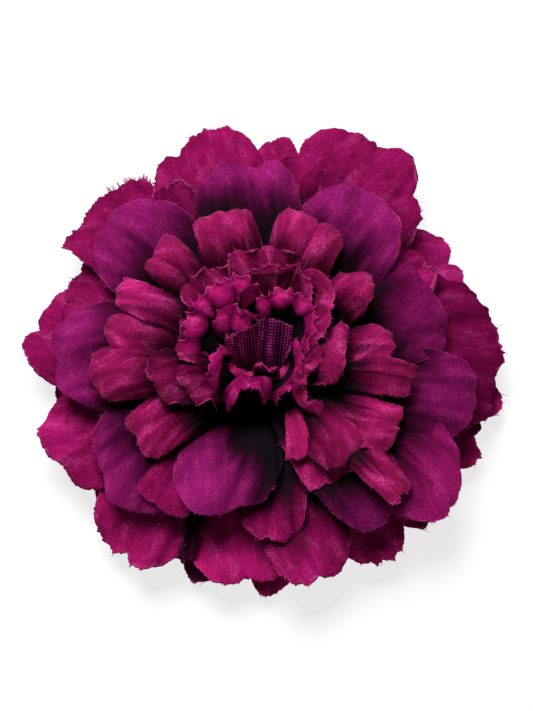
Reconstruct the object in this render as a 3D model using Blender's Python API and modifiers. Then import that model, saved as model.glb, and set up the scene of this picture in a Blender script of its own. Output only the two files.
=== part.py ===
"""Carnation flower head made of dyed fabric petals, lying face up on its calyx.

The flower's axis is +Z and its origin is the centre of the calyx's flat underside.
Petals are die-cut fabric, pressed to shape and stiffened. They are threaded in whorls
on the peg of a plastic calyx. Lengths in the tables are millimetres and angles are
degrees. A clock heading runs clockwise from +Y, seen from above.
"""

import math

import bmesh
import bpy
from mathutils import Matrix, Vector

MM = 0.001
GAP = 0.3               # clearance between pieces that touch on the real flower

# Calyx: a turned nub with the peg that carries every whorl
NUB_FOOT_RADIUS = 8.5
NUB_RADIUS = 10.5
NUB_HEIGHT = 7.0
NUB_ROUNDING = 0.6
PEG_RADIUS = 2.0
TURNED_STEPS = 20

# Collars: the gathered, glued middles of the whorls, stacked on the peg
COLLAR_COUNT = 7
COLLAR_HEIGHT = 2.1
COLLAR_PITCH = COLLAR_HEIGHT + GAP
COLLAR_BORE = PEG_RADIUS + GAP
COLLAR_STEPS = 16
PEG_TOP = NUB_HEIGHT + COLLAR_COUNT * COLLAR_PITCH - GAP

# Petals
FABRIC = 0.7            # thickness that stands for a stiffened petal and its folds
ROOT_INSET = 0.6        # how far inside its collar's rim a root starts
HANDLE = 0.38           # Bezier handle as a share of the chord
CUTS_START = -0.3       # where the cuts of the rim begin, below the widest point
CUTS_BLEND = 0.5        # over what length they grow to their full depth
FAN_CENTRE = 0.15       # how far below the widest point the scallops fan out from
TIER_FOOT = 0.5         # what one tier adds to a root's height, slope and tip height
TIER_RISE = 5
TIER_TOP = 1.8

# Every petal starts from these values, then from its whorl's, then from its own row
PLAIN_PETAL = dict(
    rise=20,            # slope at the root
    fall=-10,           # slope at the tip
    cup=-20,            # turn across the width, minus where the edges fall away
    roll=0,             # twist of the blade about its midline at the tip
    lean=0,             # how far the root's heading lags behind the tip's
    tier=0,             # steps up from the whorl's own level, to pass over neighbours
    widest=0.6,         # where the blade is widest, as a share of its length
    root=0.3,           # root width as a share of the full width
    shoulder=2.2,       # how soon the blade widens, from 1, evenly, to 3, at once
    blunt=0.0,          # 0 is a round tip, 1 a square one
    lobes=2.0,          # scallops round the whole rim
    notch=0.11,         # depth of the cuts between scallops
    notch_at=0,         # where one cut lies, as a turn from the tip
    ripple=0.8,         # height of the waves of the rim
    waves=3.0,          # waves round the rim
    phase=0,            # turns the waves
    flute=0.0,          # height of the pressed folds along the blade
    flutes=2.0,         # folds across the width
    grid=5,             # faces each way
)

LOW_OUTER = dict(
    collar=0, radius=9.2, rise=6, fall=-22, cup=-20, width=20, top=4.5,
    lobes=4.0, notch=0.2, notch_at=20, ripple=0.9, waves=4.0,
    root=0.2, shoulder=1.3,
    petals=[
        dict(clock=5, out=57, tier=0.8),
        dict(clock=18, out=58, width=17),
        dict(clock=54, out=53, width=24),
        dict(clock=94, out=51, width=22),
        dict(clock=111, out=50, tier=0.9),
        dict(clock=133, out=48, width=18),
        dict(clock=179, out=47, width=19, top=3.5),
        dict(clock=199, out=47, width=18, top=3.5, tier=0.6),
        dict(clock=233, out=45),
        dict(clock=266, out=46),
        dict(clock=299, out=49),
        dict(clock=334, out=52, width=18),
    ],
)

OUTER = dict(
    collar=1, radius=9.2, rise=20, fall=-28, cup=-20, width=27, top=10,
    lobes=5.0, notch=0.18, ripple=1.4, waves=4.0, root=0.2, shoulder=1.6,
    petals=[
        dict(clock=346, out=57.5, width=31, phase=40, notch_at=-15, grid=6),
        dict(clock=27, out=60, width=33, lobes=6.0, phase=10, tier=0.7, grid=6),
        dict(clock=82, out=51, width=34, notch_at=20, phase=80, grid=6),
        dict(clock=147, out=49, width=22, top=9, phase=120, notch_at=36),
        dict(clock=187, out=48, top=9, flute=0.4, tier=0.5, grid=6),
        dict(clock=214, out=51, top=9, phase=200, grid=6),
        dict(clock=247, out=50, phase=60, tier=0.5, grid=6),
        dict(clock=281, out=51, phase=140),
        dict(clock=314, out=54, width=29, fall=-34, phase=30, notch_at=25, tier=0.5,
             grid=6),
        # A dark one and two long, pressed ones that lie over it
        dict(clock=148, out=44, width=18, top=14, rise=26, lobes=2.0, notch=0.04,
             grid=4),
        dict(clock=163, out=47, width=18, top=16, rise=34, fall=-26, cup=-30,
             flute=0.5, lobes=4.0),
        dict(clock=177, out=40, width=14, top=19.5, rise=38, fall=-20, cup=-40,
             flute=0.4, root=0.3, lobes=3.0, shoulder=2.2),
        # Smaller ones that show between the petals above
        dict(clock=345, out=48.5, width=20, top=15, rise=24, lobes=4.0, grid=4),
        dict(clock=331, out=47, width=16, top=13.5, rise=24, lobes=4.0, grid=4),
        dict(clock=13, out=47, width=15, top=15, rise=24, lobes=3.0, grid=4),
        dict(clock=57, out=45, width=17, top=15, rise=24, lobes=4.0, grid=4),
        dict(clock=115, out=42, width=14, top=12.5, rise=18, lobes=4.0, grid=4),
        dict(clock=289, out=46, width=17, top=14.5, rise=22, lobes=4.0, grid=4),
    ],
)

MIDDLE = dict(
    collar=2, radius=8.8, rise=40, fall=-42, cup=-32, width=22, top=20.5,
    root=0.22, shoulder=2.0, ripple=0.4, waves=2.5,
    petals=[
        dict(clock=356, out=45.5, width=24, top=21.5),
        dict(clock=35, out=45.5, width=28, top=21.5, notch_at=12, grid=6),
        dict(clock=75, out=40, notch_at=-25),
        dict(clock=103, out=45, top=18.5, notch_at=30, tier=0.5),
        dict(clock=129, out=50.5, top=17),
        dict(clock=197, out=37, width=22, top=26, rise=48, fall=-30, cup=-44, lean=8,
             notch_at=-30, grid=6),
        dict(clock=226, out=44, width=26, top=17.5, notch_at=20),
        dict(clock=270, out=44, width=24, top=19.5),
        dict(clock=311, out=45, width=26, notch_at=-10),
        dict(clock=211, out=40, width=12, top=21.5, rise=44, fall=-30, cup=-50, roll=20,
             blunt=0.4),
    ],
)

SPOON = dict(
    collar=3, radius=7.8, rise=62, fall=-52, cup=-90, width=12, top=31,
    root=0.3, shoulder=1.8, blunt=0.45, notch=0.13, ripple=0.3, grid=4,
    petals=[
        dict(clock=346, out=31, width=13.5, top=32),
        dict(clock=15, out=30, width=13, top=32),
        dict(clock=32, out=29, width=10, tier=-0.5),
        dict(clock=60, out=26, roll=-25),
        dict(clock=93, out=26, width=11, top=30),
        dict(clock=107, out=31, width=9, top=28, roll=35, cup=-40),
        dict(clock=124, out=33, width=11, top=28),
        dict(clock=143, out=30, width=10, top=28),
        dict(clock=137, out=43, width=9, top=25, fall=-35, cup=-60, roll=-18),
        dict(clock=231, out=34, top=27, rise=56, fall=-35, cup=-60),
        dict(clock=262, out=35, width=13, top=28),
        dict(clock=277, out=32, top=29, tier=0.4),
        dict(clock=290, out=31, width=11),
        dict(clock=313, out=32),
    ],
)

RUFFLE = dict(
    collar=4, radius=6.6, rise=74, fall=20, cup=25, width=11, top=36,
    widest=0.68, root=0.28, shoulder=1.6, blunt=0.4, lobes=3.0, notch=0.18, waves=5.0,
    grid=4,
    petals=[
        dict(clock=309, out=19),
        dict(clock=330, out=17.5, tier=-0.8),
        dict(clock=350, out=19, width=9, top=37),
        dict(clock=12, out=20, width=10, top=37, tier=-0.8),
        dict(clock=32, out=17, width=14, top=37, tier=0.3),
        dict(clock=56, out=18, width=12, top=37, roll=30, tier=-0.6),
        dict(clock=100, out=18, width=13, top=35, fall=-20, cup=-50),
        dict(clock=128, out=16.5, width=12, top=35, roll=20, tier=-0.8),
        dict(clock=158, out=17, top=33, roll=-15, rise=70),
        dict(clock=236, out=20, top=34, fall=-20, cup=-40, tier=-0.5),
        dict(clock=270, out=19.5, top=34),
        dict(clock=253, out=24, width=12, top=32, rise=66, fall=-45, cup=-80),
    ],
)

# Frills: pinked strips that stand round the centre. Start and end give heading, top
# radius and top height, and the strip sweeps clockwise from start to end.
FRILL = dict(
    collar=5, radius=5.4,
    strips=[
        dict(start=(264, 15, 35), end=(350, 11.5, 37), waves=6, ripple=0.7),
        dict(start=(5, 11, 36), end=(85, 11, 36), waves=4, ripple=0.6),
        dict(start=(95, 10.5, 35), end=(160, 10.5, 34), waves=3, ripple=0.8),
        dict(start=(172, 12.3, 34), end=(250, 13, 34), waves=4, ripple=0.8),
    ],
)
FRILL_FACES = 14
FRILL_ROWS = 3
FRILL_FLARE = 1.25      # 1 is a straight wall, more flares towards the top
FRILL_BOB = 0.5         # rise and fall of the top edge

TUFT = dict(
    collar=6, radius=4.2, rise=88, fall=70, cup=50, width=8, top=33,
    widest=0.7, root=0.4, blunt=0.6, notch=0.07, ripple=0.2, grid=3,
    petals=[
        dict(clock=15, out=5.5, top=34),
        dict(clock=88, out=6),
        dict(clock=157, out=7, top=30),
        dict(clock=224, out=8, top=30),
        dict(clock=300, out=7, top=34, width=9),
    ],
)

CLOTH_ROUGHNESS = 0.8
PLASTIC_ROUGHNESS = 0.5
CALYX_GREEN = (0.045, 0.110, 0.030)
WHORLS = {
    "outer_whorl_low": (LOW_OUTER, "deep magenta fabric", (0.22, 0.010, 0.075)),
    "outer_whorl": (OUTER, "magenta fabric", (0.30, 0.012, 0.105)),
    "middle_whorl": (MIDDLE, "purple fabric", (0.14, 0.010, 0.100)),
    "spoon_whorl": (SPOON, "spoon petal fabric", (0.34, 0.016, 0.120)),
    "ruffle_outer": (RUFFLE, "ruffle fabric", (0.30, 0.012, 0.090)),
    "ruffle_inner": (FRILL, "frill fabric", (0.33, 0.014, 0.105)),
    "centre_tuft": (TUFT, "mesh fabric", (0.11, 0.008, 0.060)),
}
SHARP_ANGLE = 40
MERGE = 0.00001


def material(name, colour, roughness):
    """A Principled material of one colour."""
    mat = bpy.data.materials.new(name)
    mat.use_nodes = True
    shader = mat.node_tree.nodes["Principled BSDF"]
    shader.inputs["Base Color"].default_value = (*colour, 1.0)
    shader.inputs["Roughness"].default_value = roughness
    shader.inputs["Metallic"].default_value = 0.0
    return mat


def add_object(name, mesh, collection):
    """A new object of a mesh in a collection."""
    obj = bpy.data.objects.new(name, mesh)
    collection.objects.link(obj)
    return obj


def turned(name, profile, steps, closed, collection):
    """A profile of (radius, height) points, turned round Z by a Screw modifier."""
    bm = bmesh.new()
    verts = [bm.verts.new((r * MM, 0.0, z * MM)) for r, z in profile]
    pairs = list(zip(verts, verts[1:]))
    if closed:
        pairs.append((verts[-1], verts[0]))
    for pair in pairs:
        bm.edges.new(pair)
    mesh = bpy.data.meshes.new(name)
    bm.to_mesh(mesh)
    bm.free()
    obj = add_object(name, mesh, collection)
    screw = obj.modifiers.new("turn", "SCREW")
    screw.steps = screw.render_steps = steps
    screw.use_merge_vertices = True
    screw.merge_threshold = MERGE
    return obj


def shade(obj):
    """Smooth shading with sharp creases."""
    obj.data.shade_smooth()
    obj.data.set_sharp_from_angle(angle=math.radians(SHARP_ANGLE))


def foot_height(whorl):
    """The height at which a whorl's roots leave their collar."""
    return NUB_HEIGHT + GAP + whorl["collar"] * COLLAR_PITCH + COLLAR_HEIGHT / 2


def full_petal(whorl, row):
    """A petal's values: the plain ones, its whorl's and its own, raised by its tier."""
    petal = {**PLAIN_PETAL, **whorl, **row}
    petal["foot"] = foot_height(whorl) + petal["tier"] * TIER_FOOT
    petal["rise"] += petal["tier"] * TIER_RISE
    petal["top"] += petal["tier"] * TIER_TOP
    return petal


def midline(petal, share):
    """Radius, height and slope on a petal's midline, at a share of its length."""
    foot = Vector((petal["radius"] - ROOT_INSET, petal["foot"]))
    tip = Vector((petal["out"], petal["top"]))
    handle = (tip - foot).length * HANDLE
    rise, fall = math.radians(petal["rise"]), math.radians(petal["fall"])
    lower = foot + handle * Vector((math.cos(rise), math.sin(rise)))
    upper = tip - handle * Vector((math.cos(fall), math.sin(fall)))
    rest = 1.0 - share
    place = (rest ** 3 * foot + 3 * rest ** 2 * share * lower
             + 3 * rest * share ** 2 * upper + share ** 3 * tip)
    run = (rest ** 2 * (lower - foot) + 2 * rest * share * (upper - lower)
           + share ** 2 * (tip - upper))
    return place.x, place.y, math.atan2(run.y, run.x)


def outline(petal, a, b):
    """Turn a point of the square grid into shares across and along the blade.

    Above the widest point the square is rounded towards a disc, and below it the sides
    draw in to the root. The rim then gets its cuts. Also gives how near the rim the
    point is, and how far round the tip it lies.
    """
    if b > 0.0:
        roundness = 1.0 - petal["blunt"]
        across = a * math.sqrt(1.0 - roundness * b * b / 2)
        reach = b * math.sqrt(1.0 - roundness * a * a / 2)
        rim = max(abs(a), b)
    else:
        across = a * (1.0 - (1.0 - petal["root"]) * (-b) ** petal["shoulder"])
        reach = b
        rim = abs(a)
    turn = math.atan2(across, max(reach, 0.0) + FAN_CENTRE)
    scallop = abs(math.sin(petal["lobes"] * (turn - math.radians(petal["notch_at"])) / 2))
    window = min(1.0, max(0.0, reach - CUTS_START) / CUTS_BLEND)
    trim = 1.0 - petal["notch"] * (1.0 - scallop) ** 2 * window * rim ** 4
    across *= trim
    reach *= trim if reach > 0.0 else 1.0
    below = 1.0 - petal["widest"] if reach > 0.0 else petal["widest"]
    return across, petal["widest"] + reach * below, rim, turn


def petal_point(petal, a, b):
    """The place, in millimetres, of a grid point (a, b from -1 to 1) on a petal."""
    across, along, rim, turn = outline(petal, a, b)
    radius, height, slope = midline(petal, along)
    heading = math.radians(petal["clock"] - petal["lean"] * (1.0 - along))
    outward = Vector((math.sin(heading), math.cos(heading), 0.0))
    side = Vector((math.cos(heading), -math.sin(heading), 0.0))
    forward = math.cos(slope) * outward + Vector((0.0, 0.0, math.sin(slope)))
    face = side.cross(forward)
    twist = Matrix.Rotation(math.radians(petal["roll"]) * along, 3, forward)
    side, face = twist @ side, twist @ face
    bend = math.radians(petal["cup"]) / petal["width"]
    reach = across * petal["width"] / 2
    shift = math.sin(bend * reach) / bend
    lift = (1.0 - math.cos(bend * reach)) / bend
    lift += petal["ripple"] * rim ** 3 * along * math.sin(
        petal["waves"] * turn + math.radians(petal["phase"]))
    lift += petal["flute"] * along ** 1.5 * math.cos(math.pi * petal["flutes"] * across)
    return radius * outward + Vector((0.0, 0.0, height)) + side * shift + face * lift


def strip_point(strip, a, b):
    """The place, in millimetres, of a grid point on a frill."""
    share, rise = (a + 1) / 2, (b + 1) / 2
    clock, top_radius, top = (
        p + (q - p) * share for p, q in zip(strip["start"], strip["end"]))
    angle = 2 * math.pi * strip["waves"] * share
    foot_radius = strip["radius"] - ROOT_INSET
    radius = foot_radius + (top_radius - foot_radius) * rise ** FRILL_FLARE
    radius += strip["ripple"] * math.sin(angle) * rise ** 2
    height = strip["foot"] + (top - strip["foot"]) * rise
    height += FRILL_BOB * math.cos(angle) * rise ** 4
    heading = math.radians(clock)
    return Vector((math.sin(heading) * radius, math.cos(heading) * radius, height))


def blade(name, place, faces_x, faces_y, collection):
    """A thin closed blade: a grid bent by a function, split alike and thickened."""
    bm = bmesh.new()
    bmesh.ops.create_grid(bm, x_segments=faces_x, y_segments=faces_y, size=1.0)
    for vert in bm.verts:
        vert.co = place(vert.co.x, vert.co.y) * MM
    bmesh.ops.triangulate(bm, faces=bm.faces)
    mesh = bpy.data.meshes.new(name)
    bm.to_mesh(mesh)
    bm.free()
    obj = add_object(name, mesh, collection)
    wall = obj.modifiers.new("fabric", "SOLIDIFY")
    wall.thickness = FABRIC * MM
    wall.offset = 0.0
    return obj


def collar(name, index, radius, collection):
    """The ring that holds a whorl's roots round the peg."""
    low = NUB_HEIGHT + GAP + index * COLLAR_PITCH
    high = low + COLLAR_HEIGHT
    profile = [(COLLAR_BORE, high), (radius, high), (radius, low), (COLLAR_BORE, low)]
    return turned(name, profile, COLLAR_STEPS, True, collection)


def whorl_blades(name, whorl, collection):
    """Every petal or frill of a whorl, as loose blades in a collection."""
    for index, row in enumerate(whorl.get("petals", [])):
        petal = full_petal(whorl, row)
        blade(f"{name}_{index}", lambda a, b: petal_point(petal, a, b),
              petal["grid"], petal["grid"], collection)
    for index, row in enumerate(whorl.get("strips", [])):
        strip = {**whorl, **row, "foot": foot_height(whorl)}
        blade(f"{name}_{index}", lambda a, b: strip_point(strip, a, b),
              FRILL_FACES, FRILL_ROWS, collection)


def shells(bm):
    """The separate shells of a mesh, each a list of its vertices."""
    loose = set(bm.verts)
    found = []
    while loose:
        front = [loose.pop()]
        shell = list(front)
        while front:
            vert = front.pop()
            near = {edge.other_vert(vert) for edge in vert.link_edges} & loose
            loose -= near
            front.extend(near)
            shell.extend(near)
        found.append(shell)
    return found


def keep_largest_shell(mesh):
    """Fill sealed hollows and drop scraps that the union left."""
    bm = bmesh.new()
    bm.from_mesh(mesh)
    spare = sorted(shells(bm), key=len)[:-1]
    bmesh.ops.delete(bm, geom=[vert for shell in spare for vert in shell], context="VERTS")
    bm.to_mesh(mesh)
    bm.free()


def fuse(name, base, blades, mat, collection):
    """Join a collar and its blades in one closed body and clear the loose pieces."""
    join = base.modifiers.new("fuse", "BOOLEAN")
    join.operation = "UNION"
    join.operand_type = "COLLECTION"
    join.collection = blades
    join.solver = "EXACT"
    depsgraph = bpy.context.evaluated_depsgraph_get()
    mesh = bpy.data.meshes.new_from_object(base.evaluated_get(depsgraph))
    mesh.name = name
    for obj in [base, *blades.objects]:
        bpy.data.objects.remove(obj)
    bpy.data.collections.remove(blades)
    keep_largest_shell(mesh)
    mesh.materials.clear()
    mesh.materials.append(mat)
    shade(add_object(name, mesh, collection))


def make_whorl(name, whorl, mat, collection):
    """One whorl: its petals fused to its collar."""
    blades = bpy.data.collections.new(f"{name}_blades")
    bpy.context.scene.collection.children.link(blades)
    whorl_blades(name, whorl, blades)
    base = collar(f"{name}_collar", whorl["collar"], whorl["radius"], collection)
    fuse(name, base, blades, mat, collection)


def make_calyx(collection):
    """The plastic nub under the petals, in one piece with its peg."""
    profile = [
        (0.0, PEG_TOP), (PEG_RADIUS, PEG_TOP), (PEG_RADIUS, NUB_HEIGHT),
        (NUB_RADIUS - NUB_ROUNDING, NUB_HEIGHT), (NUB_RADIUS, NUB_HEIGHT - NUB_ROUNDING),
        (NUB_RADIUS - NUB_ROUNDING, NUB_HEIGHT / 2),
        (NUB_FOOT_RADIUS + NUB_ROUNDING, NUB_ROUNDING), (NUB_FOOT_RADIUS, 0.0),
        (0.0, 0.0),
    ]
    calyx = turned("calyx", profile, TURNED_STEPS, False, collection)
    calyx.data.materials.append(material("moulded plastic", CALYX_GREEN, PLASTIC_ROUGHNESS))
    shade(calyx)


def main():
    for obj in list(bpy.data.objects):
        bpy.data.objects.remove(obj)
    flower = bpy.data.collections.new("carnation_flower")
    bpy.context.scene.collection.children.link(flower)
    make_calyx(flower)
    for name, (whorl, cloth, colour) in WHORLS.items():
        make_whorl(name, whorl, material(cloth, colour, CLOTH_ROUGHNESS), flower)


main()
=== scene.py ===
"""Looks of a fabric carnation head: cut petals with frayed rims, frills, mesh and light.

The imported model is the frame. Each whorl of plain petals in it is replaced by a finer
piece that holds its petals as thin woven cloth, and a few more. Lengths are millimetres
and angles are degrees, as in the source of the part, unless a comment says otherwise. A
clock heading runs clockwise from +Y, seen from above.
"""

import math
import random

import bmesh
import bpy
from mathutils import Matrix, Vector, noise


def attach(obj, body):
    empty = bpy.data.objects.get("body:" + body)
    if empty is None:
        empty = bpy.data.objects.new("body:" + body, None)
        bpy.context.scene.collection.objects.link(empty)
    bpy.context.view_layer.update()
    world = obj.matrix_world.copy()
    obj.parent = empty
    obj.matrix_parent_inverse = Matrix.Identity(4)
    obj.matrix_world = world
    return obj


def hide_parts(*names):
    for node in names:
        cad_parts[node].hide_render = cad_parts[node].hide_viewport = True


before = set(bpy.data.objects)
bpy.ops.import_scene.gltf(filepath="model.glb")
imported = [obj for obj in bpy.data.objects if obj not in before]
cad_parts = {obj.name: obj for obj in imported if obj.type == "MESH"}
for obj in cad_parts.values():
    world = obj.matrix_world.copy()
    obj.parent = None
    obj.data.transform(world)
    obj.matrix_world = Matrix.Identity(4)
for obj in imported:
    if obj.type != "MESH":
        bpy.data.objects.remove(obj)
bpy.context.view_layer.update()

MM = 0.001
GAP = 0.3               # clearance between the collars of the whorls

# The plastic calyx, and the collars of the whorls on its peg
NUB_FOOT_RADIUS = 8.5
NUB_RADIUS = 10.5
NUB_HEIGHT = 7.0
NUB_ROUNDING = 0.6
NUB_RIBS = 16
NUB_RIB_DEPTH = 0.25
NUB_SHARP = 35          # an edge that turns more than this isn't shaded smooth
PEG_RADIUS = 2.0
PEG_STEPS = 96
COLLAR_COUNT = 7
COLLAR_HEIGHT = 2.1
COLLAR_PITCH = COLLAR_HEIGHT + GAP
COLLAR_BORE = PEG_RADIUS + GAP
COLLAR_STEPS = 48
PEG_TOP = NUB_HEIGHT + COLLAR_COUNT * COLLAR_PITCH - GAP

# Petals
CLOTH = 0.26            # thickness of the stiffened cloth
ROOT_INSET = 0.6        # how far inside its collar's rim a root starts
HANDLE = 0.38           # Bezier handle as a share of the chord
CUTS_START = -0.3       # where the cuts of the rim begin, below the widest point
CUTS_BLEND = 0.5        # over what length they grow to their full depth
FAN_CENTRE = 0.15       # how far below the widest point the scallops fan out from
TIER_FOOT = 0.5         # what one tier adds to a root's height, slope and tip height
TIER_RISE = 5
TIER_TOP = 1.8
FRAY_WAVES = (0.37, 1.8)    # lengths of the bites of the frayed rim
FOLD_FOCUS = 0.35       # how far below the root the pressed folds fan out from
CURL_TURNS = 2.4        # how often the rim curls up and down round the tip
WRINKLE = 0.09          # height and length of the fine wrinkles all over
WRINKLE_WAVE = 2.4

# Every petal starts from these values, then from its whorl's, then from its own row
PLAIN_PETAL = dict(
    rise=20,            # slope at the root
    fall=-10,           # slope at the tip
    cup=-20,            # turn across the width, minus where the edges fall away
    roll=0,             # twist of the blade about its midline at the tip
    lean=0,             # how far the root's heading lags behind the tip's
    tier=0,             # steps up from the whorl's own level, to pass over neighbours
    widest=0.6,         # where the blade is widest, as a share of its length
    root=0.3,           # root width as a share of the full width
    shoulder=2.2,       # how soon the blade widens, from 1, evenly, to 3, at once
    blunt=0.0,          # 0 is a round tip, 1 a square one
    lobes=2.0,          # scallops round the whole rim
    notch=0.11,         # depth of the cuts between scallops
    notch_at=0,         # where one cut lies, as a turn from the tip
    ripple=0.8,         # height of the waves of the rim
    waves=3.0,          # waves round the rim
    phase=0,            # turns the waves
    flute=0.0,          # height of the pressed folds along the blade
    flutes=2.0,         # folds across the width
    uneven=0.35,        # how unlike each other the scallops are
    wobble=0.07,        # how far the outline strays from an even round
    puff=0.7,           # how far a scallop stands above the creases beside it
    furrow=0.25,        # depth of the pressed valleys that run down from the cuts
    fray=0.30,          # depth of the frayed bites of the rim
    folds=0.75,         # height of the soft folds that fan out from the root
    creases=0.8,        # height of the sharper creases between them
    fold_width=7.5,     # about the width of a fold, two thirds of the way up
    fringe=None,        # where threads stand in a row, as turns from the tip
    curl=0.9,           # how far the rim curls up and down
    ribs=0,             # ribs of coarse mesh across the width
    dye=0.45,           # how far up the black root dye and the painted shade in the gaps reach, as a share of the length
    dye_soft=0.4,       # over what share of the length it fades
    dye_slant=0.0,      # how much further it reaches on the right
    purple=0.0,         # share of the purple dye in the magenta
    shade=1.0,          # how light the petal is: its own tone, with painted light and shade for how it lies to the lamps
    faces=40,           # faces each way
)


def blade(clock, out, like=None, **values):
    """A petal's row: its heading, how far out its tip lies, the values of the petals that it
    is like, and its own."""
    return {**(like or {}), "clock": clock, "out": out, **values}


LOW_OUTER = dict(
    collar=0, radius=9.2, rise=6, fall=-22, cup=-20, width=20, top=4.5,
    lobes=4.0, notch=0.2, notch_at=20, ripple=0.9, waves=4.0,
    root=0.2, shoulder=1.3, folds=0.95, creases=1.1, shade=0.7, faces=42,
    petals=[
        blade(5, 57, tier=0.8, shade=0.9),
        blade(18, 58, width=17, purple=0.6),
        blade(54, 53.5, width=24, purple=0.5, shade=1.35),
        blade(96, 52.5, width=22, shade=0.85),
        blade(111, 50, tier=0.9, shade=1.0),
        blade(133, 48, width=18, shade=0.9),
        blade(179, 47, width=19, top=3.5),
        blade(199, 47, width=18, top=3.5, tier=0.6, purple=0.9, shade=0.5, dye=0.8),
        blade(233, 45),
        blade(266, 46),
        blade(299, 49, purple=0.4, shade=0.6),
        blade(334, 52, width=18),
    ],
)

# One that shows between the purple petals above it
SMALL_OUTER = dict(width=17, top=15, rise=24, lobes=4.0, faces=36)

OUTER = dict(
    collar=1, radius=9.2, rise=20, fall=-28, cup=-20, width=27, top=10,
    lobes=5.0, notch=0.15, ripple=1.4, waves=4.0, root=0.2, shoulder=1.6, fray=0.7,
    folds=0.95, creases=1.1, dye=0.5, faces=56,
    petals=[
        blade(346, 57.5, width=29, phase=40, notch_at=-15, shade=0.85),
        blade(25.5, 61.5, width=34, lobes=6.0, phase=10, tier=0.7, shade=0.85),
        blade(83, 51.5, width=38, notch_at=20, notch=0.06, wobble=0.02, blunt=0.3,
              uneven=0.1, phase=80, shade=0.52),
        blade(147, 49, width=22, top=9, phase=120, notch_at=36),
        blade(186, 48, top=9, flute=0.4, tier=0.5, shade=1.8),
        blade(217, 51.5, width=26, top=9, phase=200),
        blade(200.5, 47.5, width=4.5, top=10, lean=-8, tier=1.0, purple=0.9,
              shade=0.6, dye=0.95, dye_soft=0.5, lobes=3.0, roll=25, faces=30),
        blade(247, 50, phase=60, tier=0.5),
        blade(281, 52, phase=140, shade=0.82),
        blade(317, 53, width=25, fall=-34, phase=30, notch_at=25, tier=0.5,
              blunt=0.95, fringe=(15, 70), shade=0.7, lobes=4.0, notch=0.05, ripple=1.0),
        blade(302, 50, width=13, top=9, tier=0.3, shade=0.5, lobes=3.0, faces=36),
        # Two long, pressed ones
        blade(166, 50, width=22, top=15, rise=34, fall=-26, cup=-30,
              flute=0.6, lobes=4.0, dye=0.72, dye_soft=0.6, shade=1.2),
        blade(176, 41, width=17, top=19.5, rise=38, fall=-20, cup=-40,
              flute=0.3, root=0.3, lobes=3.0, notch_at=4, furrow=1.6, shoulder=2.2, dye=0.74,
              dye_soft=0.5, shade=1.1, faces=44),
        blade(345, 48.5, SMALL_OUTER, width=20, shade=0.65),
        blade(332, 47.5, SMALL_OUTER, width=16, top=16, rise=28, shade=0.45, curl=0.4),
        blade(13, 49, SMALL_OUTER, width=15, lobes=3.0, shade=0.6),
        blade(57, 45, SMALL_OUTER, shade=0.8),
        blade(115, 42, SMALL_OUTER, width=14, top=12.5, rise=18),
        blade(289, 46, SMALL_OUTER, top=14.5, rise=22, shade=0.7),
    ],
)

MIDDLE = dict(
    collar=2, radius=8.8, rise=40, fall=-42, cup=-32, width=22, top=20.5,
    root=0.22, shoulder=2.0, ripple=0.4, waves=2.5, purple=1.0, dye=0.66,
    fray=0.2, curl=0.8, folds=1.3, creases=1.0, fold_width=9, furrow=0.3, faces=56,
    petals=[
        blade(354.5, 45.5, width=23, top=21.5, shade=1.2),
        blade(34, 44.5, width=24.5, top=21.5, notch_at=12, dye=0.56, shade=1.25),
        blade(71, 40.5, width=25, notch_at=-25, blunt=0.3, shade=0.75, purple=0.8),
        blade(101, 46.5, width=21, top=18.5, notch_at=85, tier=0.5, blunt=0.4, lean=-8),
        blade(127.5, 52, top=16.5, shade=1.4, purple=0.65),
        blade(199.5, 37, top=26, rise=48, fall=-30, cup=-44, lean=8,
              notch_at=-30, notch=0.15, lobes=3.0, dye=0.47, dye_soft=0.36,
              dye_slant=-0.33, shade=1.35),
        blade(229, 44, width=25, top=17.5, notch_at=20, shade=1.1),
        blade(271, 45.5, width=24, top=19.5, shade=1.2),
        blade(314, 46, width=23.5, notch_at=-10, dye=0.58, shade=1.1),
        blade(146, 44.5, width=16.5, top=19.5, fall=-34, tier=0.4,
              notch=0.04, dye=0.72, shade=0.95, faces=44),
        blade(214, 40, width=14, top=21.5, rise=44, fall=-30, cup=-50, roll=20,
              blunt=0.4, purple=0.0, faces=36),
    ],
)

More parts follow.
